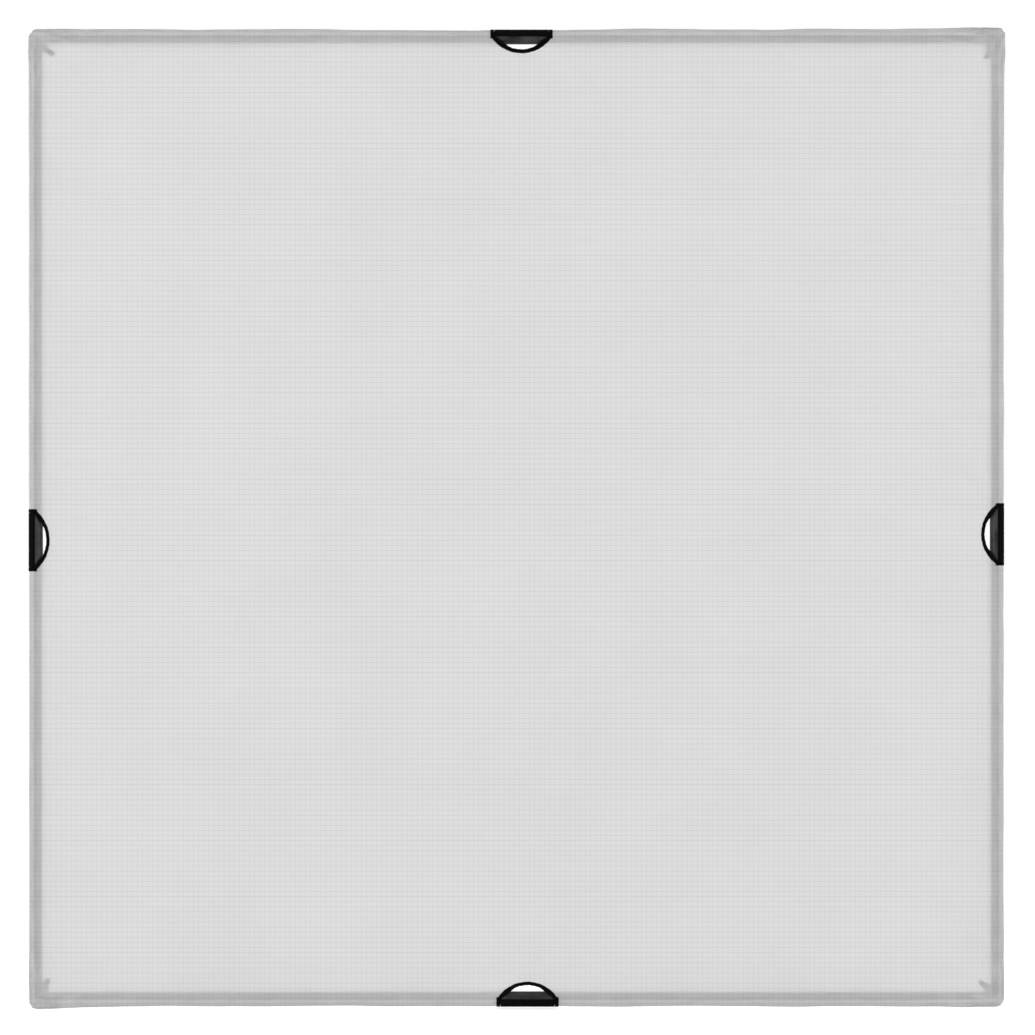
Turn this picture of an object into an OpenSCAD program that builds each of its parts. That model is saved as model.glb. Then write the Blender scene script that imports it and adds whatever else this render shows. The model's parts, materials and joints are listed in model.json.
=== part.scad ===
// Square diffusion panel for film and stage lighting.
// Translucent ripstop cloth is hemmed with hook-and-loop tape round a knock-down frame of round tube.
// Millimetres. X runs across the panel, Z up it, and the cloth's face looks along -Y.
// The origin is the middle of the panel, in the plane of the four tube axes.

/* [Cloth] */
// Outside size of the cloth, edge to edge
panel_size = 1219.2; // [1000:0.1:1300]
// Thickness of the diffusion cloth
cloth_t = 0.3; // [0.25:0.05:0.35]
// Gap left between parts that move on each other
fit_gap = 0.05; // [0.04:0.01:0.08]
// Length of the fold that stays on each corner, measured from the corner of the tube axes
fold_len = 14; // [10:1:20]
// How far a hem reaches forward round the tube, in degrees from straight outward
hem_front = 78.5; // [78:0.5:79]

/* [Hook and loop] */
// Thickness of the hook tape bonded to the tubes
hook_t = 0.9; // [0.8:0.05:1.1]
// Thickness of the loop tape sewn into the hems
loop_t = 0.8; // [0.6:0.05:1]
// Front edge of the hook tape, in degrees from straight outward
hook_front = 81; // [78:0.5:81]
// Front edge of the loop tape, in degrees from straight outward
loop_front = 75; // [60:1:75]

/* [Tube frame] */
// Outside diameter of the tube
tube_d = 15.875; // [15.5:0.005:17]
// Wall of the tube
tube_wall = 1.2; // [1:0.05:1.3]
// Radial clearance of a spigot in a tube
spigot_clear = 0.0875; // [0.05:0.0125:0.1]
// Wall of a spigot
spigot_wall = 1.5; // [1.2:0.1:1.6]
// Length of a spigot inside a tube
spigot_len = 40; // [36:1:50]
// Length of an elbow's arm, from its corner to the shoulder
elbow_arm = 30; // [28:1:40]
// Leg of the small web inside each elbow
web_leg = 22; // [19:1:24]
// Thickness of the web
web_t = 6; // [3:0.5:6]
// Distance from the middle of a side to its tube joint, clockwise
joint_offset = 100; // [95:1:140]

/* [Snap buttons and rivets] */
// Diameter of a snap button
button_d = 6; // [5:0.5:6]
// Diameter of the hole it slides in
button_hole_d = 6.15; // [6.1:0.01:6.2]
// Height of a button above the tube
button_proud = 2; // [1.5:0.1:2.5]
// Distance from a spigot's shoulder to its button
button_setback = 20; // [16:1:24]
// Direction of buttons and rivets, in degrees from outward towards the back
lock_angle = 135; // [130:5:150]
// Diameter of a rivet's shank
rivet_d = 3.2; // [3:0.1:4]

/* [Clamp openings] */
// Length of each opening along its edge of the panel
open_chord = 77.6; // [70:0.1:84]
// Height of the squared ends of an opening
open_bar = 8.3; // [8:0.1:8.8]
// Width of the binding round an opening
binding_w = 4.4; // [4:0.1:5.5]
// Height of the binding above the cloth
binding_t = 0.7; // [0.5:0.1:0.8]
// Middle of the top, right, bottom and left openings, clockwise along their sides
open_mid = [6.4, 20.6, -13.9, -28];
// Depth of the same four openings
open_depth = [30, 29.7, 30.8, 27.2];

/* [Pull tabs] */
// Width of a tab's webbing
tab_w = 6.5; // [5:0.5:7]
// Thickness of the webbing
tab_t = 0.8; // [0.6:0.1:0.9]
// Length of a tab in the plane of the panel
tab_len = 30; // [29:1:32]
// Tip of each tab from the outer corner, back along the first side and in from it, from top right clockwise
tab_tip = [[24, 37.5], [31.5, 32], [27, 34], [32, 33]];
// Slope of each tab from its first side
tab_slope = [73, 54, 50, 57];

/* [Hidden] */
$fn = 64;
tube_r = tube_d / 2;
spigot_r = tube_r - tube_wall - spigot_clear;
bore_r = spigot_r - spigot_wall;
button_r = button_d / 2;
hook_r = tube_r + hook_t;
loop_in = hook_r + fit_gap;
loop_out = loop_in + loop_t;
hem_r = loop_out + cloth_t;
half = panel_size / 2 - hem_r;
face_back = tube_r + fit_gap;
face_front = face_back + cloth_t;
fold_r = cloth_t / 2;
sheet_half = half - fold_r - fit_gap;
shoulder = half - elbow_arm;
chamfer = 0.8;

// Everything on a side is drawn on the top side, with x clockwise along it and z outward,
// and then turned onto side k: 0 top, 1 right, 2 bottom, 3 left.
module on_side(k) {
    rotate([0, 90 * k, 0]) children();
}

// Round bar on a side's axis, with its radius at each end
module bar(s0, s1, r0, r1) {
    translate([s0, 0, half]) rotate([0, 90, 0]) cylinder(h = s1 - s0, r1 = r0, r2 = r1);
}

// Prism along a side. Its section has x towards the back and y outward from the side's axis.
module along(s0, s1) {
    translate([min(s0, s1), 0, half]) rotate([90, 0, 90]) linear_extrude(abs(s1 - s0)) children();
}

// Curved strip round a side's axis, between two angles from outward (0) towards the back (90)
module band(s0, s1, r0, r1, a0, a1) {
    lo = min(s0, s1);
    hi = max(s0, s1);
    intersection() {
        difference() {
            bar(lo, hi, r1, r1);
            bar(lo - 1, hi + 1, r0, r0);
        }
        along(lo - 2, hi + 2)
            polygon(concat([[0, 0]],
                [for (i = [0:4]) let (a = a0 + (a1 - a0) * i / 4) 2 * r1 * [sin(a), cos(a)]]));
    }
}

// Where a side's buttons and rivets sit, with z pointing out of the tube
module at_lock(s) {
    translate([s, 0, half]) rotate([-lock_angle, 0, 0]) children();
}

module button_hole(s) {
    at_lock(s) cylinder(h = 2 * tube_r, r = button_hole_d / 2);
}

module rivet_hole(s) {
    at_lock(s) cylinder(h = 2 * tube_r, r = rivet_d / 2);
}

// Positions along a side, clockwise from its middle
function start_button() = -shoulder + button_setback;
function joint_button() = joint_offset + button_setback;
function end_button() = shoulder - button_setback;
function rivet_spots() = [joint_offset - 12, joint_offset - 28];

// Elbow: two arms that meet in a ball with a small web, and a stepped spigot on each arm.
// e is 1 for the arm at the end of a side and -1 for the arm at its start.
module elbow_side(e) {
    tip = e * (shoulder - spigot_len);
    neck = tip + e * chamfer;
    bar(min(e * shoulder, e * half), max(e * shoulder, e * half), tube_r, tube_r);
    bar(min(neck, e * shoulder), max(neck, e * shoulder), spigot_r, spigot_r);
    bar(min(tip, neck), max(tip, neck), e > 0 ? spigot_r - 0.5 : spigot_r, e > 0 ? spigot_r : spigot_r - 0.5);
}

module elbow_bore(e) {
    tip = e * (shoulder - spigot_len - 1);
    floor_s = e * (half - 18);
    bar(min(tip, floor_s), max(tip, floor_s), bore_r, bore_r);
    button_hole(e * (shoulder - button_setback));
}

module corner_elbow(k) {
    color("dimgray") difference() {
        union() {
            on_side(k) elbow_side(1);
            on_side(k + 1) elbow_side(-1);
            on_side(k) translate([half, 0, half]) sphere(tube_r);
            on_side(k) translate([half, 0, half]) rotate([90, 0, 0])
                linear_extrude(web_t, center = true) polygon([[0, 0], [-web_leg, 0], [0, -web_leg]]);
        }
        on_side(k) elbow_bore(1);
        on_side(k + 1) elbow_bore(-1);
    }
}

module plain_tube(s0, s1) {
    difference() {
        bar(s0, s1, tube_r, tube_r);
        bar(s0 - 1, s1 + 1, tube_r - tube_wall, tube_r - tube_wall);
    }
}

// The long tube starts at an elbow and holds the riveted half of the joint spigot
module tube_long(k) {
    color("dimgray") on_side(k) difference() {
        plain_tube(-shoulder, joint_offset);
        button_hole(start_button());
        for (s = rivet_spots()) rivet_hole(s);
    }
}

// The short tube runs from the joint to the next elbow and is locked by a button at each end
module tube_short(k) {
    color("dimgray") on_side(k) difference() {
        plain_tube(joint_offset, shoulder);
        button_hole(joint_button());
        button_hole(end_button());
    }
}

module joint_spigot(k) {
    lo = joint_offset - spigot_len;
    hi = joint_offset + spigot_len;
    color("silver") on_side(k) difference() {
        union() {
            bar(lo, lo + chamfer, spigot_r - 0.5, spigot_r);
            bar(lo + chamfer, hi - chamfer, spigot_r, spigot_r);
            bar(hi - chamfer, hi, spigot_r, spigot_r - 0.5);
        }
        bar(lo - 1, hi + 1, bore_r, bore_r);
        button_hole(joint_button());
        for (s = rivet_spots()) rivet_hole(s);
    }
}

// Blind rivet: bulb inside the spigot, shank through both walls and a low head outside
module rivet() {
    bulb_top = sqrt(pow(bore_r, 2) - pow(0.75 * rivet_d, 2)) - 0.05;
    translate([0, 0, bulb_top - 1]) cylinder(h = 1, r = 0.75 * rivet_d);
    translate([0, 0, bulb_top - 1]) cylinder(h = tube_r + 1.2 - bulb_top, r = rivet_d / 2 - 0.02);
    translate([0, 0, tube_r + 0.02]) cylinder(h = 0.5, r = rivet_d);
    translate([0, 0, tube_r + 0.52]) cylinder(h = 0.5, r1 = rivet_d, r2 = 0.6 * rivet_d);
}

module spigot_rivets() {
    color("silver") for (k = [0:3]) on_side(k) for (s = rivet_spots()) at_lock(s) rivet();
}

// Button: domed pin on a wider base that stops inside the bore
flange_r = button_r + 0.5;
flange_top = sqrt(pow(bore_r, 2) - pow(flange_r, 2)) - 0.1;
flange_t = 0.9;
button_top = tube_r + button_proud;
dome_h = 0.6;
dome_r = (pow(button_r, 2) + pow(dome_h, 2)) / (2 * dome_h);

module snap_button(k, s) {
    color("silver") on_side(k) at_lock(s) union() {
        translate([0, 0, flange_top - flange_t]) cylinder(h = flange_t, r = flange_r);
        intersection() {
            translate([0, 0, flange_top - flange_t / 2]) cylinder(h = button_top, r = button_r);
            translate([0, 0, button_top - dome_r]) sphere(dome_r, $fn = 96);
        }
    }
}

// Spring: a bent leaf that lies in the bore under a button. dir is the way its bend points along the side.
leaf_t = 0.6;
leaf_w = 4.4;
leaf_low = -sqrt(pow(bore_r, 2) - pow(leaf_w / 2, 2)) + leaf_t / 2 + 0.08;
leaf_high = flange_top - flange_t - leaf_t / 2 - 0.02;
leaf_line = [[6, leaf_low], [-13, leaf_low], [-14.4, leaf_low + 0.5], [-15, leaf_low + 1.4],
    [-14.6, leaf_low + 2.3], [-13.4, leaf_low + 2.9], [-3.5, leaf_high], [4, leaf_high]];
function unit(v) = v / norm(v);
function turned(v) = [-v[1], v[0]];
function leaf_normal(i) =
    let (a = leaf_line[max(i - 1, 0)], b = leaf_line[min(i + 1, len(leaf_line) - 1)]) turned(unit(b - a));

module leaf_spring(dir) {
    upper = [for (i = [0:len(leaf_line) - 1]) leaf_line[i] + leaf_normal(i) * leaf_t / 2];
    lower = [for (i = [len(leaf_line) - 1:-1:0]) leaf_line[i] - leaf_normal(i) * leaf_t / 2];
    rotate([0, 0, dir > 0 ? 180 : 0]) rotate([90, 0, 0])
        linear_extrude(leaf_w, center = true) polygon(concat(upper, lower));
}

module button_springs() {
    color("silver") for (k = [0:3]) on_side(k) {
        at_lock(start_button()) leaf_spring(-1);
        at_lock(joint_button()) leaf_spring(-1);
        at_lock(end_button()) leaf_spring(1);
    }
}

module hook_tapes() {
    color("black") for (k = [0:3]) on_side(k) {
        band(-shoulder + 1, joint_offset - 0.5, tube_r, hook_r, -hook_front, 90);
        band(joint_offset + 0.5, shoulder - 1, tube_r, hook_r, -hook_front, 90);
    }
}

// Each opening is a circular segment with squared ends. Its circle passes through the ends of the binding.
open_sag = [for (d = open_depth) d - open_bar];
open_r = [for (s = open_sag) (pow(open_chord / 2, 2) + pow(s, 2)) / (2 * s)];
open_z = [for (k = [0:3]) half + hem_r - open_depth[k] + open_r[k]];
binding_lap = 1.2;

module opening_disc(k, r, y0, y1) {
    translate([open_mid[k], y1, open_z[k]]) rotate([90, 0, 0]) cylinder(h = y1 - y0, r = r, $fn = 128);
}

module diffusion_cloth() {
    color("white") difference() {
        union() {
            translate([-sheet_half, -face_front, -sheet_half]) cube([2 * sheet_half, cloth_t, 2 * sheet_half]);
            for (k = [0:3]) on_side(k) {
                corner_fold(1);
                corner_fold(-1);
                translate([half, 0, half]) intersection() {
                    difference() {
                        sphere(hem_r);
                        sphere(face_back);
                    }
                    translate([0, -2 * hem_r, 0]) cube([2 * hem_r, 4 * hem_r, 2 * hem_r]);
                }
            }
        }
        for (k = [0:3]) on_side(k)
            opening_disc(k, open_r[k] - binding_w + binding_lap, -face_front - 1, -face_back + 1);
    }
}

// Folded cloth round an elbow's arm, joined to the flat sheet by a narrow strip
module corner_fold(e) {
    near = e * (half - fold_len);
    band(near, e * half, face_back, hem_r, -90, 90);
    translate([min(near, e * half), -face_front, sheet_half - 1]) cube([fold_len, cloth_t, half - sheet_half + 2]);
}

// Binding on the face of the cloth: it covers the cut edge and laps over the front
module opening_binding(k) {
    inner = open_r[k] - binding_w;
    front = -face_front - binding_t;
    color("black") on_side(k) difference() {
        opening_disc(k, open_r[k], front, -face_back);
        opening_disc(k, inner, front - 1, -face_back + 1);
        difference() {
            opening_disc(k, open_r[k] + 1, -face_front, -face_back + 1);
            opening_disc(k, inner + binding_lap, -face_front - 1, -face_back + 2);
        }
        translate([open_mid[k] - 100, -20, half + 1.1]) cube([200, 40, 200]);
    }
}

// Hem: the cloth's edge wrapped round the outer half of the tube. It turns on a fold in the front of the cloth,
// in front of the tube's axis, and a narrow flap carries it over the front edge of the tapes.
hem_gap = 0.3;
bound_front = 72;
bound_t = 0.5;
fold_point = [-face_front, 0];
flap_end = (hem_r - 0.03) * [sin(-hem_front + 0.6), cos(-hem_front + 0.6)];
flap_in = -turned(unit(flap_end - fold_point)) * cloth_t;

function hem_near(k, e) = open_mid[k] + e * open_chord / 2;
function hem_far(e) = e * (half - fold_len - hem_gap);

module hem(k, e) {
    near = hem_near(k, e);
    far = hem_far(e);
    clear_end = near + e * 0.1;
    color("whitesmoke") on_side(k) union() {
        band(near, far, loop_out, hem_r, -hem_front, 90);
        band(near - e * binding_w, near, loop_out, hem_r, -bound_front, 90);
        band(near - e * binding_w, near, hem_r, hem_r + bound_t, -bound_front, 90);
        along(clear_end, far) polygon([fold_point, flap_end, flap_end + flap_in, fold_point + flap_in]);
        translate([0, -face_front, 0]) bar(min(clear_end, far), max(clear_end, far), fold_r, fold_r);
    }
}

module loop_tape(k, e) {
    color("gainsboro") on_side(k)
        band(hem_near(k, e) - e * (binding_w - 0.6), e * (shoulder - 1), loop_in, loop_out, -loop_front, 88);
}

// Pull tab: webbing that lies flat on the back of the corner and drops over the tube to the back of the cloth.
// Its stitched end is rolled, and the tab turns on that roll.
tab_back = hem_r + fit_gap;
tab_flat = tab_len / 2;
tab_drop = tab_len - 3;
tab_low = -face_back + 0.5;
tab_line = [[0, tab_back], [tab_flat, tab_back], [tab_drop, tab_low + 0.6], [tab_len, tab_low]];
tab_skin = [[tab_len, tab_low + tab_t], [tab_drop + 0.5 * tab_t, tab_low + 0.6 + 0.8 * tab_t],
    [tab_flat + 0.5 * tab_t, tab_back + tab_t], [0, tab_back + tab_t]];

module pull_tab(k) {
    a = tab_slope[k];
    edge = half + hem_r;
    root = [edge - tab_tip[k][0] + tab_len * cos(a), 0, edge - tab_tip[k][1] + tab_len * sin(a)];
    color("black") on_side(k) translate(root) rotate([0, 180 - a, 0]) union() {
        linear_extrude(tab_w, center = true) polygon(concat(tab_line, tab_skin));
        translate([0, tab_back + tab_t / 2, 0]) cylinder(h = tab_w, r = tab_t / 2, center = true);
    }
}

corner_elbow(0);  // corner_elbow_top_right
corner_elbow(1);  // corner_elbow_bottom_right
corner_elbow(2);  // corner_elbow_bottom_left
corner_elbow(3);  // corner_elbow_top_left
tube_long(0);  // tube_top_long
tube_short(0);  // tube_top_short
tube_long(1);  // tube_right_long
tube_short(1);  // tube_right_short
tube_long(2);  // tube_bottom_long
tube_short(2);  // tube_bottom_short
tube_long(3);  // tube_left_long
tube_short(3);  // tube_left_short
joint_spigot(0);  // joint_spigot_top
joint_spigot(1);  // joint_spigot_right
joint_spigot(2);  // joint_spigot_bottom
joint_spigot(3);  // joint_spigot_left
spigot_rivets();
button_springs();
snap_button(0, start_button());  // snap_button_top_start
snap_button(0, joint_button());  // snap_button_top_joint
snap_button(0, end_button());  // snap_button_top_end
snap_button(1, start_button());  // snap_button_right_start
snap_button(1, joint_button());  // snap_button_right_joint
snap_button(1, end_button());  // snap_button_right_end
snap_button(2, start_button());  // snap_button_bottom_start
snap_button(2, joint_button());  // snap_button_bottom_joint
snap_button(2, end_button());  // snap_button_bottom_end
snap_button(3, start_button());  // snap_button_left_start
snap_button(3, joint_button());  // snap_button_left_joint
snap_button(3, end_button());  // snap_button_left_end
hook_tapes();
diffusion_cloth();
opening_binding(0);  // opening_binding_top
opening_binding(1);  // opening_binding_right
opening_binding(2);  // opening_binding_bottom
opening_binding(3);  // opening_binding_left
hem(0, -1);  // hem_top_left
hem(0, 1);  // hem_top_right
hem(1, -1);  // hem_right_top
hem(1, 1);  // hem_right_bottom
hem(2, -1);  // hem_bottom_right
hem(2, 1);  // hem_bottom_left
hem(3, -1);  // hem_left_bottom
hem(3, 1);  // hem_left_top
loop_tape(0, -1);  // loop_tape_top_left
loop_tape(0, 1);  // loop_tape_top_right
loop_tape(1, -1);  // loop_tape_right_top
loop_tape(1, 1);  // loop_tape_right_bottom
loop_tape(2, -1);  // loop_tape_bottom_right
loop_tape(2, 1);  // loop_tape_bottom_left
loop_tape(3, -1);  // loop_tape_left_bottom
loop_tape(3, 1);  // loop_tape_left_top
pull_tab(0);  // pull_tab_top_right
pull_tab(1);  // pull_tab_bottom_right
pull_tab(2);  // pull_tab_bottom_left
pull_tab(3);  // pull_tab_top_left
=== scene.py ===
"""Looks for a square framed diffusion panel: cloth, tapes, webbing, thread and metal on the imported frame."""
import json
import math
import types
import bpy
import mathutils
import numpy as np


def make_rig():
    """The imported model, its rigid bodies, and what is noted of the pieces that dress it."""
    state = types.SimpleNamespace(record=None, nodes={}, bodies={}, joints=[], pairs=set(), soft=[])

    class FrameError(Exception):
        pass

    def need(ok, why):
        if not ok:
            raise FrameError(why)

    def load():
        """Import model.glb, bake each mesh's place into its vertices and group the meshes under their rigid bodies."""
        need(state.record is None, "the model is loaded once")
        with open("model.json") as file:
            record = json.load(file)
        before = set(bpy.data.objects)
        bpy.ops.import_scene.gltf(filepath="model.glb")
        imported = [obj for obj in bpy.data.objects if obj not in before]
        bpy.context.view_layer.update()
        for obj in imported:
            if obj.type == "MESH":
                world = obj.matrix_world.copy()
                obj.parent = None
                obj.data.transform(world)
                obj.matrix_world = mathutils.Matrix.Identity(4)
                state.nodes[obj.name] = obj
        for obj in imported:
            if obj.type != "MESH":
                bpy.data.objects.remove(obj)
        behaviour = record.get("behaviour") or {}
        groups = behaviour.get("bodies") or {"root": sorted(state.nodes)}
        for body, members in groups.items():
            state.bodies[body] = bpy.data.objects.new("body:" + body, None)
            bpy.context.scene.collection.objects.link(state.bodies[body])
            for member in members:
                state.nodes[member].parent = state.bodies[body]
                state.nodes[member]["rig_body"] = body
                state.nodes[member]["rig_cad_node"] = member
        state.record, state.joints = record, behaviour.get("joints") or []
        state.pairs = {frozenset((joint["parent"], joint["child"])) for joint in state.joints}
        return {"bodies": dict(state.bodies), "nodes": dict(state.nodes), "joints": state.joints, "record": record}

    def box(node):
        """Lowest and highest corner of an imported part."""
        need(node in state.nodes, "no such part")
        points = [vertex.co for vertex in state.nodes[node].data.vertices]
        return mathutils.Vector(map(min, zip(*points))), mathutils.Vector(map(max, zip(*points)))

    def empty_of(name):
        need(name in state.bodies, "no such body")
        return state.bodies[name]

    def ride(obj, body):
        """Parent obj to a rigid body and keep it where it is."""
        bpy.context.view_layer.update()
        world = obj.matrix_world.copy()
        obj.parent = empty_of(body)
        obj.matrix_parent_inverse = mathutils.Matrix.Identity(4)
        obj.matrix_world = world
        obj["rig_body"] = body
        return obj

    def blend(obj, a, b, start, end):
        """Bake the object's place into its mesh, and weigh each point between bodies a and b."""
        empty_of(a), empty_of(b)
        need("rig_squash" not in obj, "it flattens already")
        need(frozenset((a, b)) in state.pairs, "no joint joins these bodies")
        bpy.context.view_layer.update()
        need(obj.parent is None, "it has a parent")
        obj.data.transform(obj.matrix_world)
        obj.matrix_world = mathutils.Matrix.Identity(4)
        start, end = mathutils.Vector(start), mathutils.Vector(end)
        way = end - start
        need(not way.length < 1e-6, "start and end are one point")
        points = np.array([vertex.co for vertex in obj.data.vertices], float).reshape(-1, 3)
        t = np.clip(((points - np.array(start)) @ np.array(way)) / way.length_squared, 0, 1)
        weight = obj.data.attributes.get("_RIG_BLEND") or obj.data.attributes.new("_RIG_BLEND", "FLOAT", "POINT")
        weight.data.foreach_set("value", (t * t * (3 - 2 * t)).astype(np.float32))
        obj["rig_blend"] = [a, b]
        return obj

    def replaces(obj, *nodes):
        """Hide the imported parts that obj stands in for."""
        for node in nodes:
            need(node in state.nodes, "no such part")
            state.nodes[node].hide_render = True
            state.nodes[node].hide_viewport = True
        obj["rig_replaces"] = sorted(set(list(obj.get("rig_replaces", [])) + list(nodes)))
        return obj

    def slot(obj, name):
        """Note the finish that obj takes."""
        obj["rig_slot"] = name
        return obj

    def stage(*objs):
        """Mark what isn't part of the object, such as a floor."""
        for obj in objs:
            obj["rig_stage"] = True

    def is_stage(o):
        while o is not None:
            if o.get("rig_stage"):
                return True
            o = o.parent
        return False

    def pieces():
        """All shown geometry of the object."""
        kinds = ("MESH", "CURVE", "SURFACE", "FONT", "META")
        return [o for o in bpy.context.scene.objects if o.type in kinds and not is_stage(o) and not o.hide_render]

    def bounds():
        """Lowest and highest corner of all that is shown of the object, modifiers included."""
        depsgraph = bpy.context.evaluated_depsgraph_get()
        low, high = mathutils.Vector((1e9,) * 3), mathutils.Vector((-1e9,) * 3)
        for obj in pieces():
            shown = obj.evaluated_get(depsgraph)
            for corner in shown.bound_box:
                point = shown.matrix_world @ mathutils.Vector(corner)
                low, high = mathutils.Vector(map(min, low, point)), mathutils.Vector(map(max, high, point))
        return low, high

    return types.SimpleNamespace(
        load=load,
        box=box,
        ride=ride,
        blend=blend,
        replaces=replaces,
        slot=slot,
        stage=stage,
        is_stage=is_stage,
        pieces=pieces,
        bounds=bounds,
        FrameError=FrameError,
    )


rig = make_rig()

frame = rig.load()
cad_lo, cad_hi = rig.bounds()

import bmesh
import bpy
import numpy as np
from mathutils import Vector
from mathutils.geometry import delaunay_2d_cdt

MM = 0.001

# -------- sizes read from the frame
SIDES = ("top", "right", "bottom", "left")
# Each hem by its side and its way from the opening, named after its side and the next side that way
HEMS = {(k, e): SIDES[k] + "_" + SIDES[(k + e) % 4] for k in range(4) for e in (-1, 1)}
CORNERS = ("top_right", "bottom_right", "bottom_left", "top_left")
# Cosine and sine of each side's turn from the top side, clockwise
TURNS = ((1, 0), (0, 1), (-1, 0), (0, -1))


def from_side(k, s, y, z):
    """Row-frame point of side k's own coordinates: s clockwise along it, z out from the panel's middle."""
    c, n = TURNS[k]
    return Vector((s * c + z * n, y, -s * n + z * c))


def to_side(k, x, z):
    """How far a point lies clockwise along side k, and how far outward from the panel's middle."""
    c, n = TURNS[k]
    return x * c - z * n, x * n + z * c


def side_box(node, k):
    """A node's box at rest in side k's coordinates."""
    ends = []
    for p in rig.box(node):
        s, out = to_side(k, p.x, p.z)
        ends.append((s, p.y, out))
    return [min(a, b) for a, b in zip(*ends)], [max(a, b) for a, b in zip(*ends)]


tube_lo, tube_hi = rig.box("tube_top_long")
TUBE_R = (tube_hi.z - tube_lo.z) / 2
# How far a side's tube axis lies from the panel's middle, and how far along it the tube starts
AXIS = (tube_hi.z + tube_lo.z) / 2
SHOULDER = -tube_lo.x
# Radii round that axis: outside of a hem and middle of its cloth, hook tape outside, loop tape inside
CLOTH_T = 0.3 * MM
HEM_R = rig.box("diffusion_cloth")[1].z - AXIS
HEM_MID = HEM_R - CLOTH_T / 2
HOOK_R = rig.box("hook_tapes")[1].z - AXIS
LOOP_IN = HOOK_R + 0.05 * MM
# Distances in front of the tubes' axes: back and middle of the cloth's face, front of a binding
FACE_BACK = -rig.box("opening_binding_top")[1].y
FACE_MID = FACE_BACK + CLOTH_T / 2
BIND_FRONT = -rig.box("opening_binding_top")[0].y
BIND_W = 4.4 * MM
# How far in from a hem's outside the circle of an opening meets the ends of the hems
BAR_H = 8.3 * MM
# Where a corner's fold ends and a hem begins, the length over which a peeled hem turns back into its corner,
# and the width of the face's edge that goes with a hem
FOLD_END = AXIS - 14.3 * MM
TURN = 75 * MM
MARGIN = 12 * MM


def opening(k):
    """Middle, half length, radius and centre height of the circle of side k's opening."""
    a = side_box("hem_" + HEMS[(k, -1)], k)[1][0]
    b = side_box("hem_" + HEMS[(k, 1)], k)[0][0]
    mid, reach = (a + b) / 2, (b - a) / 2 + BIND_W
    deep = side_box("opening_binding_" + SIDES[k], k)[0][2] - AXIS
    sag = HEM_R - BAR_H - deep
    radius = (reach**2 + sag**2) / (2 * sag)
    return mid, reach, radius, deep + radius


OPEN = [opening(k) for k in range(4)]


# -------- shape helpers
def smooth(t):
    """0 below 0, 1 above 1, and an eased step between."""
    t = np.clip(t, 0.0, 1.0)
    return t * t * (3 - 2 * t)


def waves(t, seed, pitch):
    """Repeatable wavering between about -1 and 1."""
    out = 0.0
    for i, (f, a) in enumerate(((1.0, 0.45), (1.73, 0.25), (2.61, 0.15), (0.57, 0.3))):
        out = out + a * np.sin(2 * math.pi * t / pitch * f + seed * (1.7 + 2.3 * i) + i)
    return out


def run_along(path):
    """Distance along a path, at each of its points."""
    return np.cumsum([0] + [math.dist(p, q) for p, q in zip(path, path[1:])])


def polar(r, a):
    """(y, u) of a point round a tube's axis, at an angle that is 0 straight out of the panel's side."""
    return r * math.sin(a), r * math.cos(a)


def directions(path):
    """Unit direction and unit right-hand normal of a path of 2D points, at each of them."""
    d = np.gradient(path, axis=0)
    d /= np.linalg.norm(d, axis=1)[:, None]
    return d, np.stack([d[:, 1], -d[:, 0]], axis=1)


def relief(x, z):
    """How far the cloth's face stands in front of flat at a point of the panel."""
    x, z = np.asarray(x, float), np.asarray(z, float)
    out = np.zeros(np.broadcast(x, z).shape)
    inner = np.minimum(AXIS - np.abs(x), AXIS - np.abs(z))
    # puckers along the sides, and folds that fan out from the ends of the openings
    for k, (mid, reach, _, _) in enumerate(OPEN):
        s, u = to_side(k, x, z)
        d = AXIS - u
        pucker = 0.16 * waves(s, 3 + k, 0.052) + 0.26 * waves(s, 11 + k, 0.17)
        out += MM * pucker * np.exp(-d / 0.05) * smooth(d / 0.02)
        for e in (-1, 1):
            beside = s - mid - e * reach
            r, a = np.hypot(beside, d), np.arctan2(d, beside * e)
            out += 0.5 * MM * np.cos(9 * a + k) * np.exp(-((r - 0.07) / 0.05) ** 2) * smooth(d / 0.025)
    # folds that fan out from the corners
    for sx in (-1, 1):
        for sz in (-1, 1):
            dx, dz = AXIS - sx * x, AXIS - sz * z
            r, a = np.hypot(dx, dz), np.arctan2(dz, dx)
            fan = np.cos(10 * a + sx + 2 * sz)
            out += 0.55 * MM * fan * np.exp(-((r - 0.09) / 0.06) ** 2) * smooth(np.minimum(dx, dz) / 0.03)
    # broad slackness, and flat cloth beside the openings
    broad = np.sin(x * 9.1 + 1.1) * np.sin(z * 7.3 + 0.4) + 0.6 * np.sin(x * 15.7 + z * 11.3 + 2.0)
    out += 0.5 * MM * broad * smooth(inner / 0.15)
    for k, (mid, _, radius, centre) in enumerate(OPEN):
        s, u = to_side(k, x, z)
        away = np.hypot(s - mid, u - AXIS - centre) - radius
        out *= smooth(away / 0.02 + 0.1)
    return out * smooth(inner / 0.018)


def link(name, data):
    """A new object in the scene."""
    ob = bpy.data.objects.new(name, data)
    bpy.context.scene.collection.objects.link(ob)
    return ob


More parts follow.
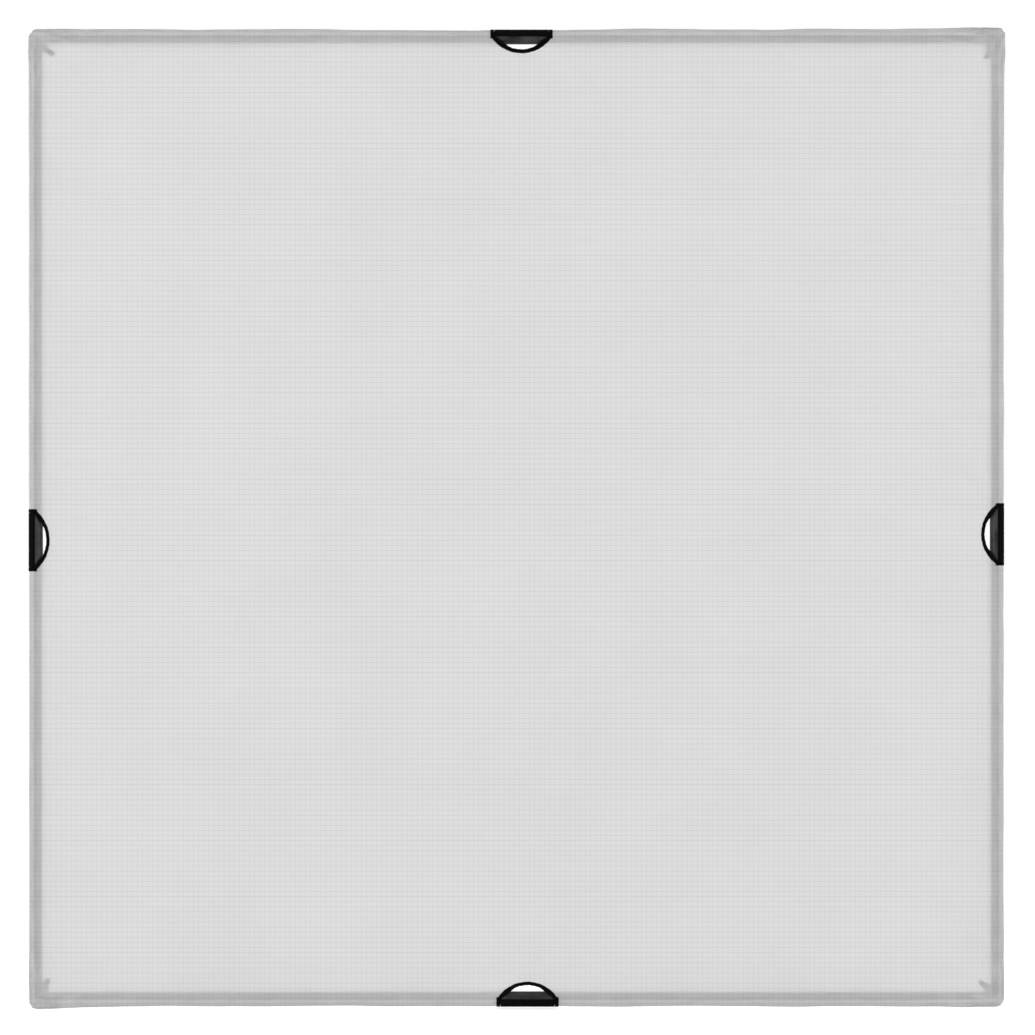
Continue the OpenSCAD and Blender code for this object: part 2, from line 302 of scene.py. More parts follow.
def finish_mesh(name, verts, faces, mats, uvs=None, slots=None, sharp=40):
    """A mesh object with its materials, its faces turned outward and its hard edges marked."""
    me = bpy.data.meshes.new(name)
    me.from_pydata([tuple(v) for v in verts], [], faces)
    for m in mats:
        me.materials.append(m)
    if slots is not None:
        me.polygons.foreach_set("material_index", slots)
    if uvs is not None:
        layer = me.uv_layers.new(name="UVMap")
        flat = [c for f in faces for i in f for c in uvs[i]]
        layer.data.foreach_set("uv", flat)
    bm = bmesh.new()
    bm.from_mesh(me)
    bmesh.ops.remove_doubles(bm, verts=bm.verts, dist=2e-6)
    bmesh.ops.recalc_face_normals(bm, faces=bm.faces)
    bm.to_mesh(me)
    bm.free()
    me.polygons.foreach_set("use_smooth", [True] * len(me.polygons))
    me.set_sharp_from_angle(angle=math.radians(sharp))
    return link(name, me)


# Place of the thread among the materials of a stitched piece
THREAD_SLOT = 1


class Shape:
    """Collects the vertices, faces, UVs and material slots of one piece."""

    def __init__(self, rings=None, uvs=None):
        self.v, self.f, self.uv, self.m = [], [], [], []
        if rings:
            self.rings(rings, uvs)

    def rings(self, rings, uvs, slot=0):
        """Skin over closed rings of points, capped at both ends. uvs has a (u, v) for every point."""
        base, n = len(self.v), len(rings[0])
        for ring, uv in zip(rings, uvs):
            self.v.extend(ring)
            self.uv.extend(uv)
        for i in range(len(rings) - 1):
            a, b = base + i * n, base + (i + 1) * n
            for j in range(n):
                q = (j + 1) % n
                self.f.append((a + j, a + q, b + q, b + j))
                self.m.append(slot)
        last = base + (len(rings) - 1) * n
        self.f.append(tuple(base + j for j in range(n))[::-1])
        self.f.append(tuple(last + j for j in range(n)))
        self.m += [slot, slot]

    def stitch(self, a, b, out, r=0.16 * MM):
        """One stitch from a to b, a slim five-sided grain of thread that stands a little out of the cloth."""
        a, b, out = Vector(a), Vector(b), Vector(out).normalized()
        along = (b - a).normalized()
        across = along.cross(out).normalized()
        rings, uvs = [], []
        for t, w, h in ((0.0, 0.25, -0.3), (0.2, 0.9, 0.5), (0.8, 0.9, 0.5), (1.0, 0.25, -0.3)):
            c = a + (b - a) * t + out * (r * h)
            turns = [2 * math.pi * i / 5 for i in range(5)]
            rings.append([c + across * (math.cos(g) * r * w) + out * (math.sin(g) * r * w) for g in turns])
            uvs.append([(t * (b - a).length, i * r) for i in range(5)])
        self.rings(rings, uvs, THREAD_SLOT)

    def build(self, name, library_slot, mats, sharp=40):
        ob = finish_mesh(name, self.v, self.f, mats, self.uv, self.m, sharp)
        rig.slot(ob, library_slot)
        return ob


def thicken(path, t):
    """Closed ring round a mid-line path of 2D points: the outer line forward, then the inner line back."""
    _, n = directions(path)
    return np.concatenate([path + n * t / 2, (path - n * t / 2)[::-1]])


def soften(path, first, last):
    """One pass of corner cutting over path[first:last], which keeps its number of points."""
    soft = path.copy()
    soft[1:-1] = 0.25 * path[:-2] + 0.5 * path[1:-1] + 0.25 * path[2:]
    path[first:last] = soft[first:last]


def sweep(path, profile, wide, thick, place):
    """Rings and UVs of a flat tape along a path of 2D points. The profile has (across, outward) shares of its
    width and thickness, and place turns (first, second, across, run) into a point of the row frame."""
    rings, uvs = [], []
    _, normals = directions(path)
    thicks = np.broadcast_to(thick, len(path))
    for (a, b), (na, nb), t, run in zip(path, normals, thicks, run_along(path)):
        rings.append([place(a + na * h * t, b + nb * h * t, w * wide, run) for w, h in profile])
        uvs.append([(run, w * wide) for w, _ in profile])
    return rings, uvs


def steps(a, b, step):
    """Even steps of about this size from a to b, with both ends."""
    n = max(2, int(math.ceil(abs(b - a) / step)) + 1)
    return np.linspace(a, b, n)


# -------- materials
class Nodes:
    """Short-hand for building the node tree of a material or a world."""

    def __init__(self, owner, output="ShaderNodeOutputMaterial"):
        self.owner = owner
        owner.use_nodes = True
        self.t = owner.node_tree
        self.t.nodes.clear()
        self.out = self.new(output)

    def new(self, kind, **inputs):
        """A node with these inputs set or linked; an underscore in a name stands for a space."""
        n = self.t.nodes.new(kind)
        for key, value in inputs.items():
            self.put(n.inputs[key.replace("_", " ")], value)
        return n

    def put(self, socket, value):
        if isinstance(value, bpy.types.NodeSocket):
            self.t.links.new(value, socket)
        elif value is not None:
            socket.default_value = value

    def feed(self, n, *values):
        """Sets or links a node's first inputs and gives its first output."""
        for i, value in enumerate(values):
            self.put(n.inputs[i], value)
        return n.outputs[0]

    def math(self, op, *values):
        n = self.t.nodes.new("ShaderNodeMath")
        n.operation = op
        return self.feed(n, *values)

    def plus(self, a, b):
        return self.math("ADD", a, b)

    def minus(self, a, b):
        return self.math("SUBTRACT", a, b)

    def times(self, a, b):
        return self.math("MULTIPLY", a, b)

    def size(self, a):
        return self.math("ABSOLUTE", a)

    def yarns(self, coord, pitch):
        """A sine wave along a coordinate, from -1 to 1 and back in every pitch."""
        return self.math("SINE", self.times(coord, 2 * math.pi / pitch))

    def ramp(self, value, lo, hi, out_lo=0.0, out_hi=1.0):
        n = self.t.nodes.new("ShaderNodeMapRange")
        n.interpolation_type = "SMOOTHSTEP"
        return self.feed(n, value, lo, hi, out_lo, out_hi)

    def mix(self, share, a, b):
        n = self.t.nodes.new("ShaderNodeMix")
        n.data_type = "RGBA"
        for i, value in zip((0, 6, 7), (share, a, b)):
            self.put(n.inputs[i], value)
        return n.outputs[2]

    def coords(self, kind="Object"):
        return self.new("ShaderNodeTexCoord").outputs[kind]

    def split(self, vector):
        return self.new("ShaderNodeSeparateXYZ", Vector=vector).outputs

    def near_grey(self, value, blue=1.0):
        parts = [self.times(value, share) for share in (1.0, 1.0, blue)]
        return self.feed(self.new("ShaderNodeCombineColor"), *parts)

    def mix_shaders(self, share, a, b):
        return self.feed(self.new("ShaderNodeMixShader"), share, a, b)

    def noise(self, vector, scale, detail=3.0, rough=0.55):
        n = self.new("ShaderNodeTexNoise", Vector=vector, Scale=scale, Detail=detail, Roughness=rough)
        return n.outputs["Fac"]

    def stretch(self, vector, x, y, z):
        return self.new("ShaderNodeMapping", Vector=vector, Scale=(x, y, z)).outputs[0]

    def bump(self, height, distance, strength=1.0, normal=None):
        inputs = {"Strength": strength, "Distance": distance, "Height": height, "Normal": normal}
        return self.new("ShaderNodeBump", **inputs).outputs[0]

    def shader(self, kind, **inputs):
        return self.new("ShaderNodeBsdf" + kind, **inputs).outputs[0]

    def cells(self, vector, scale, randomness):
        """Distance from the nearest of many scattered points."""
        n = self.new("ShaderNodeTexVoronoi", Vector=vector, Scale=scale, Randomness=randomness)
        return n.outputs["Distance"]

    def to_camera(self):
        return self.new("ShaderNodeLightPath").outputs["Is Camera Ray"]

    def pointiness(self):
        return self.new("ShaderNodeNewGeometry").outputs["Pointiness"]

    def finish(self, shader):
        self.t.links.new(shader, self.out.inputs["Surface"])
        return self.owner

    def surface(self, **inputs):
        return self.finish(self.shader("Principled", **inputs))


def material(name):
    """Nodes of a new material, and its place on the object in metres."""
    n = Nodes(bpy.data.materials.new(name))
    return n, n.coords()


def grey(v):
    return (v, v, v, 1.0)


def darker(colour, share):
    return tuple(c * share for c in colour[:3]) + (1.0,)


def line_mask(n, coord, pitch, width):
    """1 on the lines of a grid at this pitch, 0 between them."""
    cell = n.math("FRACT", n.math("DIVIDE", coord, pitch))
    off = n.times(n.size(n.minus(cell, 0.5)), pitch)
    return n.ramp(off, width * 0.35, width * 0.9, 1.0, 0.0)


# Pitch of the doubled yarns, and tone and transmission of one wall of the closed sheet, which has two
GRID = 6.35 * MM
CLOTH_TONE = 0.86
CLOTH_PASS = 0.56


def cloth_material():
    """Translucent ripstop: a fine plain weave, with doubled yarns every quarter inch both ways, and painted light and
    shade of crumples near the hems and corners.
    """
    n, o = material("ripstop_diffusion_cloth")
    x, y, z = n.split(o)
    across = line_mask(n, n.plus(z, 4.0), GRID, 0.5 * MM)
    upright = line_mask(n, n.plus(x, 4.0), GRID, 0.42 * MM)
    ribs = n.math("MAXIMUM", across, n.times(upright, 0.75))
    weave = n.times(n.yarns(x, 0.42 * MM), n.yarns(z, 0.38 * MM))
    cloud = n.noise(o, 7.0, 4.0)
    slub = n.noise(n.stretch(o, 6, 6, 420), 1.0, 3.0)
    tone = n.plus(n.ramp(cloud, 0.3, 0.7, -0.006, 0.006), n.ramp(slub, 0.3, 0.7, -0.006, 0.006))
    tone = n.minus(tone, n.times(ribs, 0.12))
    outward = n.math("MAXIMUM", n.size(x), n.size(z))
    # Where the cloth is rumpled: near the hems, most at the corners. It drives the crumples' bump and their painted
    # light and shade.
    hemmed = n.ramp(outward, AXIS - 9 * MM, AXIS - 3 * MM)
    near_x = n.ramp(n.size(x), 0.5, 0.59)
    near_z = n.ramp(n.size(z), 0.5, 0.59)
    corner = n.times(near_x, near_z)
    rumpled = n.times(hemmed, n.plus(corner, 0.45))
    along_x = n.noise(n.stretch(o, 0.3, 1.0, 1.0), 150, 3.0)
    along_z = n.noise(n.stretch(o, 1.0, 1.0, 0.3), 150, 3.0)
    upright_side = n.ramp(n.minus(n.size(x), n.size(z)), -8 * MM, 8 * MM)
    folds = n.plus(n.times(along_z, upright_side), n.times(along_x, n.minus(1.0, upright_side)))
    # Painted light and shade of the crumples: the fold noise makes the cloth's colour lighter and darker where it is
    # rumpled.
    painted_crumple_shade = n.times(n.ramp(folds, 0.32, 0.68, -0.045, 0.045), rumpled)
    colour = n.near_grey(n.plus(CLOTH_TONE, n.plus(tone, painted_crumple_shade)))
    height = n.plus(n.times(weave, 0.12), ribs)
    height = n.plus(height, n.times(n.noise(o, 160, 3.0), 0.5))
    bump = n.bump(height, 0.06 * MM, 0.5, n.bump(n.times(folds, rumpled), 1.2 * MM, 0.3))
    front = n.shader("Diffuse", Color=colour, Normal=bump)
    back = n.shader("Translucent", Color=colour, Normal=bump)
    sheen = n.shader("Glossy", Color=grey(0.9), Roughness=0.5, Normal=bump)
    return n.finish(n.mix_shaders(0.02, n.mix_shaders(CLOTH_PASS, front, back), sheen))


def tube_material():
    """Satin black anodising: drawn lines along the tube, small scuffs and paler rubbed places."""
    n, o = material("black_anodised_tube")
    drawn = n.noise(n.stretch(o, 26, 900, 900), 1.0, 4.0)
    drawn_z = n.noise(n.stretch(o, 900, 900, 26), 1.0, 4.0)
    lines = n.times(n.plus(drawn, drawn_z), 0.5)
    cloud = n.noise(o, 34, 5.0)
    rub = n.ramp(n.noise(o, 95, 6.0, 0.65), 0.63, 0.74)
    worn = n.ramp(n.pointiness(), 0.53, 0.6)
    wear = n.times(n.math("MAXIMUM", n.times(rub, 0.35), worn), n.ramp(cloud, 0.35, 0.62))
    base = n.mix(n.ramp(cloud, 0.3, 0.75), grey(0.005), (0.009, 0.009, 0.00945, 1.0))
    colour = n.mix(n.times(wear, 0.4), base, grey(0.09))
    rough = n.plus(n.ramp(lines, 0.3, 0.7, 0.3, 0.42), n.times(wear, 0.12))
    bump = n.bump(n.plus(lines, n.times(rub, -0.4)), 0.02 * MM, 0.5)
    return n.surface(Base_Color=colour, Roughness=rough, Normal=bump, Specular_IOR_Level=0.3)


def metal_material(name, colour, rough, scale, darkening=0.4):
    """Bare or plated metal with grain, a cloudy tone and a darker tone in its hollows."""
    n, o = material(name)
    grain = n.noise(n.stretch(o, scale, scale * 3, scale * 3), 1.0, 4.0)
    cloud = n.noise(o, 120, 4.0)
    # Darker tone in the hollows, found by pointiness, and in cloudy patches, scaled by the darkening share.
    hollow = n.ramp(n.pointiness(), 0.49, 0.44)
    dark = n.times(n.math("MAXIMUM", n.ramp(cloud, 0.5, 0.75), hollow), darkening)
    tone = n.mix(dark, colour, darker(colour, 0.45))
    r = n.ramp(grain, 0.3, 0.7, rough - 0.07, rough + 0.09)
    bump = n.bump(grain, 0.015 * MM, 0.6)
    return n.surface(Base_Color=tone, Metallic=1.0, Roughness=r, Normal=bump)


def hook_material():
    """Hook tape: rows of stiff black hooks on a woven ground."""
    n, o = material("hook_tape")
    dots = n.ramp(n.cells(o, 780.0, 0.35), 0.15, 0.5, 1.0, 0.0)
    fuzz = n.noise(o, 900, 3.0)
    dust = n.ramp(n.noise(o, 55, 5.0), 0.58, 0.8, 0.0, 0.5)
    colour = n.mix(dots, grey(0.002), grey(0.007))
    colour = n.mix(n.times(dust, n.ramp(fuzz, 0.5, 0.75)), colour, grey(0.03))
    height = n.plus(dots, n.times(fuzz, 0.5))
    rough = n.ramp(fuzz, 0.3, 0.7, 0.62, 0.85)
    return n.surface(Base_Color=colour, Roughness=rough, Normal=n.bump(height, 0.3 * MM, 0.8),
                     Specular_IOR_Level=0.04)


def loop_material():
    """Loop tape: a soft brushed white pile over a knitted ground."""
    n, o = material("loop_tape")
    pile = n.noise(o, 1400, 4.0, 0.7)
    clump = n.noise(o, 240, 4.0)
    curl = n.ramp(n.cells(o, 520.0, 1.0), 0.1, 0.6)
    value = n.plus(n.ramp(clump, 0.3, 0.7, 0.68, 0.78), n.ramp(pile, 0.3, 0.7, -0.05, 0.04))
    height = n.plus(pile, n.times(curl, 0.8))
    return n.surface(Base_Color=n.near_grey(value, 0.985), Roughness=n.ramp(pile, 0.3, 0.7, 0.85, 0.97),
                     Normal=n.bump(height, 0.35 * MM, 0.8), Sheen_Weight=0.3, Sheen_Roughness=0.4)


def woven_material(name, low, high, pitch, sheen=0.15, herring=False, shine=0.12):
    """Woven tape, read along its own length from its UVs: crossing yarns, a selvedge and a little lint."""
    n, o = material(name)
    u, v, _ = n.split(n.coords("UV"))
    shift = n.times(n.size(v), 1.0 if herring else 0.0)
    knit = n.times(n.yarns(v, pitch), n.yarns(n.plus(u, shift), pitch * 1.25))
    fuzz = n.noise(o, 700, 4.0)
    cloud = n.noise(o, 40, 4.0)
    height = n.plus(n.ramp(knit, -1.0, 1.0), n.times(fuzz, 0.5))
    colour = n.mix(n.ramp(knit, -0.6, 0.8), grey(low), grey(high))
    lint = n.times(n.ramp(fuzz, 0.62, 0.8), n.ramp(cloud, 0.4, 0.7))
    colour = n.mix(n.times(lint, 0.35), colour, grey(min(1.0, high * 4 + 0.02)))
    return n.surface(Base_Color=colour, Roughness=n.ramp(fuzz, 0.3, 0.7, 0.72, 0.9),
                     Normal=n.bump(height, 0.16 * MM, 0.8), Sheen_Weight=sheen, Sheen_Roughness=0.5,
                     Specular_IOR_Level=shine)


def thread_material(name, colour):
    """Twisted sewing thread."""
    n, o = material(name)
    u, v, _ = n.split(n.coords("UV"))
    twist = n.yarns(n.plus(u, n.times(v, 1.6)), 0.5 * MM)
    fuzz = n.noise(o, 900, 3.0)
    tone = n.mix(n.ramp(twist, -1, 1), darker(colour, 0.72), colour)
    tone = n.mix(n.ramp(fuzz, 0.5, 0.8, 0.0, 0.3), tone, darker(colour, 0.6))
    return n.surface(Base_Color=tone, Roughness=n.ramp(fuzz, 0.3, 0.7, 0.55, 0.75),
                     Normal=n.bump(twist, 0.05 * MM, 0.6), Sheen_Weight=0.2)


# The floor's own share of white
FLOOR_GLOW = 0.55


def floor_material():
    """Pale studio floor: matt white with a barely visible mottle."""
    n, o = material("studio_floor")
    cloud = n.noise(o, 2.2, 4.0)
    fine = n.noise(o, 60, 3.0)
    value = n.plus(n.ramp(cloud, 0.3, 0.7, 0.0, 0.01), n.ramp(fine, 0.3, 0.7, 0.0, 0.006))
    colour = n.mix(value, grey(0.9), grey(0.94))
    flat = n.shader("Principled", Base_Color=colour, Roughness=0.9, Normal=n.bump(fine, 0.2 * MM, 0.3),
                    Specular_IOR_Level=0.1)
    glow = n.new("ShaderNodeEmission", Strength=n.times(n.to_camera(), FLOOR_GLOW)).outputs[0]
    return n.finish(n.feed(n.new("ShaderNodeAddShader"), flat, glow))


CLOTH = cloth_material()
TUBE = tube_material()
ALLOY = metal_material("drawn_alloy", (0.62, 0.62, 0.64, 1.0), 0.34, 60, darkening=0.25)
ZINC = metal_material("zinc_plated_steel", (0.6, 0.6, 0.62, 1.0), 0.26, 300)
SPRING = metal_material("blued_spring_steel", (0.2, 0.22, 0.27, 1.0), 0.3, 200)
HOOK = hook_material()
LOOP = loop_material()
BINDING = woven_material("black_binding_tape", 0.001, 0.003, 0.55 * MM, sheen=0.01, shine=0.04)
WEBBING = woven_material("black_webbing", 0.003, 0.011, 0.9 * MM, sheen=0.08, herring=True)
WHITE_THREAD = thread_material("white_thread", (0.78, 0.78, 0.77, 1.0))
BLACK_THREAD = thread_material("black_thread", (0.012, 0.012, 0.013, 1.0))


# -------- the cloth's face
def sheet_outline():
    """Outline of the still part of the cloth's face, clockwise, as (x, z) points in the row frame."""
    points = []
    turn_end = FOLD_END - TURN

    def add(k, s, u, step=7 * MM):
        """Goes straight on to the next corner of the outline, in even steps."""
        p = from_side(k, s, 0, AXIS + u)
        q = np.array([p.x, p.z])
        if points:
            a = points[-1]
            length = np.linalg.norm(q - a)
            if length < 1e-6:
                return
            n = max(1, int(math.ceil(length / step)))
            for i in range(1, n + 1):
                points.append(a + (q - a) * i / n)
        else:
            points.append(q)

    for k, (mid, reach, radius, centre) in enumerate(OPEN):
        cut = radius - BIND_W + 1.2 * MM
        wide = math.sqrt(cut**2 - centre**2)
        a0 = math.atan2(wide, centre)
        for s, u in ((-AXIS, 0), (-turn_end, 0), (-turn_end, -MARGIN), (mid - reach, -MARGIN),
                     (mid - reach, 0), (mid - wide, 0)):
            add(k, s, u)
        for a in np.linspace(-a0, a0, 46)[1:-1]:
            add(k, mid + cut * math.sin(a), centre - cut * math.cos(a), 0.02)
        for s, u in ((mid + wide, 0), (mid + reach, 0), (mid + reach, -MARGIN), (turn_end, -MARGIN),
                     (turn_end, 0)):
            add(k, s, u)
    add(0, -AXIS, 0)
    return np.array(points[:-1])


SHEET_STEP = 9.5 * MM


def make_sheet():
    """The face of the cloth: one continuous stretched sheet with its four half-moon cut-outs."""
    edge = sheet_outline()
    line = np.linspace(-AXIS + 4 * MM, AXIS - 4 * MM, 2 * int(AXIS / SHEET_STEP) + 1)
    inside = np.stack([grid.ravel() for grid in np.meshgrid(line, line)], axis=1)
    away = np.full(len(inside), np.inf)
    for i in range(0, len(edge), 200):
        d = np.linalg.norm(inside[:, None, :] - edge[None, i:i + 200, :], axis=2).min(1)
        away = np.minimum(away, d)
    inside = inside[away > 4.5 * MM]
    everything = [Vector(p) for p in np.concatenate([edge, inside])]
    loop = list(range(len(edge)))
    lines = [(i, (i + 1) % len(edge)) for i in loop]
    verts, _, faces, *_ = delaunay_2d_cdt(everything, lines, [loop], 1, 1e-7)
    flat = np.array([(p.x, p.y) for p in verts])
    mid = -FACE_MID - relief(flat[:, 0], flat[:, 1])
    count = len(flat)
    out = [(x, m + wall, z) for wall in (-CLOTH_T / 2, CLOTH_T / 2) for (x, z), m in zip(flat, mid)]
    skin = [tuple(f) for f in faces]
    used = dict.fromkeys(e for f in skin for e in zip(f, f[1:] + f[:1]))
    rim = [e for e in used if (e[1], e[0]) not in used]
    skin += [tuple(i + count for i in f)[::-1] for f in list(skin)]
    skin += [(b, a, a + count, b + count) for a, b in rim]
    ob = finish_mesh("diffusion_sheet", out, skin, [CLOTH], sharp=50)
    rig.replaces(ob, "diffusion_cloth")
    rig.slot(ob, "diffusion_cloth")
    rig.ride(ob, "frame")


# -------- hems
# How slack each hem lies on its tube, and how far it stands off next to its corner, in millimetres
SLACK = {
    (0, -1): 1.7, (0, 1): 2.2, (1, -1): -0.9, (1, 1): -0.7,
    (2, -1): 1.7, (2, 1): 1.3, (3, -1): -1.2, (3, 1): -0.9,
}
LIFT = {
    (0, -1): 1.4, (0, 1): 3.4, (1, -1): 1.5, (1, 1): 0.0,
    (2, -1): 1.5, (2, 1): 4.2, (3, -1): -0.3, (3, 1): 0.5,
}
# Length beside the opening over which each hem lies tight, in metres
TIGHT = {(0, -1): 0.24, (2, 1): 0.05}
# How far a tight hem lies inside its plain radius, in millimetres
TAUT = 0.62
# How much further out the hooks, the hems' ends and their bars stand at each opening, and over what length
RISE = (0.6 * MM, 0.0, 1.5 * MM, 0.0)
RISE_RUN = (0.02, 0.02, 0.07, 0.02)


def bulge(k, e, s):
    """How far a hem stands out from its plain radius at a place along its side; tight beside the opening."""
    mid, reach, _, _ = OPEN[k]
    near, far = mid + e * reach, e * FOLD_END
    a, b = abs(s - near), abs(far - s)
    slack, lift = SLACK[(k, e)], LIFT[(k, e)]
    out = slack * (0.55 + 0.45 * waves(s, 2.3 * k + e, 0.19)) + 0.13 * waves(s, 7.7 + k - e, 0.047)
    tight = TIGHT.get((k, e), 0.035)
    out *= float(smooth(a / (tight + 0.025)) * smooth(b / 0.03))
    out += lift * math.exp(-b / 0.045) - TAUT * float(1 - smooth(a / tight))
    return max(out, -TAUT) * MM + RISE[k] * float(1 - smooth(a / RISE_RUN[k]))


def crumple(b, t, seed):
    """Small crumples that stand out of the cloth, deeper near the corner, which is a distance b away."""
    deep = 0.1 + 0.55 * math.exp(-b / 0.05)
    return deep * MM * (0.5 + 0.5 * waves(t, seed, 0.013))


# Angles round the tube at which a hem's section has its points, and that of the crest in front of them
ROUND = np.radians(np.array([-66, -52, -36, -20, -4, 12, 28, 44, 58, 70, 80, 87]))
CREST = math.radians(76)
LOOP_ROUND = np.radians(np.linspace(-74, 86, 15))


def stand_off(push, a):
    """Share of a hem's bulge at an angle round the tube, where 0 is straight out of the panel's side."""
    return push * max(0.15, math.cos(a) ** 0.7)


def hem_section(k, e, s, margin):
    """Mid-line of the cloth across a hem, as (y, u): from the face, over the crest, round the tube."""
    out = []
    if margin > 0:
        for u in np.linspace(-margin, -0.0012, 8):
            p = from_side(k, s, 0, AXIS + u)
            out.append((-FACE_MID - float(relief(p.x, p.z)), u))
    push = bulge(k, e, s)
    out.append((-FACE_MID, 0.0))
    crest = (-HEM_MID * math.sin(CREST) - push * 0.25, HEM_MID * math.cos(CREST))
    out.append((-FACE_MID + (crest[0] + FACE_MID) * 0.5, crest[1] * 0.5))
    out.append(crest)
    for a in ROUND:
        r = HEM_MID + stand_off(push, a)
        r += crumple(abs(e * FOLD_END - s), s + a * 0.009, 5 + k) * max(0.2, math.cos(a))
        out.append(polar(r, a))
    out += [(HEM_MID - 0.12 * MM, 0.0), (HEM_MID - 0.7 * MM, -0.15 * MM)]
    path = np.array(out)
    soften(path, len(path) - len(ROUND) - 4, -2)
    return path


def strip(k, places, outline):
    """Rings and UVs of a strip along side k. outline gives the (y, u) points of its section at each place."""
    rings, uvs = [], []
    for s in places:
        ring = outline(s)
        rings.append([from_side(k, s, y, AXIS + u) for y, u in ring])
        uvs.append([(s, v) for v in run_along(ring)])
    return rings, uvs


def hem_strip(k, e, places, margin):
    """Rings of a hem, with this width of the face's edge."""
    return strip(k, places, lambda s: thicken(hem_section(k, e, s, margin), CLOTH_T))


def hem_stitches(shape, k, e, a, b):
    """Two rows of stitches that hold the loop tape: near its front edge and near its back edge."""
    pitch, size = 3.4 * MM, 2.3 * MM
    for rad in np.radians([-58, 72]):
        s = min(a, b) + 1.2 * MM
        while s + size < max(a, b) - 0.6 * MM:
            ends = []
            for q in (s, s + size):
                path = hem_section(k, e, q, 0)
                ang = np.arctan2(path[:, 0], path[:, 1])
                order = np.argsort(ang)
                r = np.interp(rad, ang[order], np.hypot(path[:, 0], path[:, 1])[order]) + CLOTH_T / 2
                y, u = polar(r, rad)
                ends.append(from_side(k, q, y, AXIS + u))
            shape.stitch(*ends, from_side(k, 0, *polar(1, rad)))
            s += pitch


def fold_points(k):
    """Where a hem starts and stops bending about its fold, across the side."""
    along = from_side(k, 0, 0.34, 0.94)
    centre = from_side(k, 0, -FACE_MID, AXIS)
    return centre - along * 1.1 * MM, centre + along * 1.3 * MM


def turn_back(ob, k, e):
    """Lets a piece twist from its corner, where it stays still, to where it goes all the way with its hem."""
    ends = [from_side(k, e * s, 0, AXIS) for s in (FOLD_END, FOLD_END - TURN)]
    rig.blend(ob, "frame", "hem_" + HEMS[(k, e)], *ends)


def make_hem(k, e):
    """Half of a side's hem: the length that peels off, and the length that turns back into its corner."""
    name, body = HEMS[(k, e)], "hem_" + HEMS[(k, e)]
    mid, reach, _, _ = OPEN[k]
    near, far = mid + e * reach, e * FOLD_END
    turn = e * (FOLD_END - TURN)
    main = Shape(*hem_strip(k, e, steps(turn, near, 6 * MM), MARGIN))
    hem_stitches(main, k, e, turn, near - e * 1 * MM)
    ob = main.build("hem_cloth_" + name, "diffusion_cloth", [CLOTH, WHITE_THREAD], 50)
    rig.replaces(ob, body)
    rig.blend(ob, "frame", body, *fold_points(k))
    twist = Shape(*hem_strip(k, e, steps(far + e * 0.3 * MM, turn, 4 * MM), 0))
    hem_stitches(twist, k, e, far - e * 15 * MM, turn)
    ob = twist.build("hem_turn_" + name, "diffusion_cloth", [CLOTH, WHITE_THREAD], 50)
    turn_back(ob, k, e)
    make_loop(k, e, near, turn)


def loop_strip(k, e, places):
    """Rings of the loop tape, which fills the room between the hook tape and the hem."""
    def outline(s):
        push = bulge(k, e, s)
        outer, inner = [], []
        for a in LOOP_ROUND:
            cover = max(HEM_MID + stand_off(push, a) - 0.1 * MM, LOOP_IN + 0.3 * MM)
            r = cover - CLOTH_T / 2 - 0.03 * MM
            outer.append(polar(r, a))
            inner.append(polar(LOOP_IN, a))
        return outer + inner[::-1]

    return strip(k, places, outline)


def make_loop(k, e, near, turn):
    """The loop tape inside a hem, in the same two lengths."""
    name, body = HEMS[(k, e)], "hem_" + HEMS[(k, e)]
    end = e * (SHOULDER - 1 * MM)
    main = Shape(*loop_strip(k, e, steps(turn, near - e * 3.4 * MM, 8 * MM)))
    ob = main.build("loop_tape_strip_" + name, "loop_tape", [LOOP])
    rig.replaces(ob, "loop_tape_" + name)
    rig.ride(ob, body)
    twist = Shape(*loop_strip(k, e, steps(end, turn, 5 * MM)))
    ob = twist.build("loop_tape_turn_" + name, "loop_tape", [LOOP])
    turn_back(ob, k, e)


# -------- corners
def corner_stations():
    """Places along a corner fold: along one side, round the corner and along the next side.
    Each is (origin s, origin z, outward s, outward z, degrees round the corner, share of fullness)."""
    ramp = [(FOLD_END + (AXIS - FOLD_END) * t, t) for t in np.linspace(0, 1, 6)[:-1]]
    out = [(p, AXIS, 0.0, 1.0, 0.0, t) for p, t in ramp]
    for a in np.radians(np.linspace(0, 90, 19)):
        out.append((AXIS, AXIS, math.sin(a), math.cos(a), math.degrees(a), 1.0))
    return out + [(AXIS, p, 1.0, 0.0, 90.0, t) for p, t in ramp[::-1]]


# Fullness of each corner in millimetres, and where its two pleats lie in degrees, from top right clockwise
CORNER_LOOK = ((0.6, 28, 63), (-0.6, 35, 60), (-0.3, 24, 52), (-1.6, 38, 66))


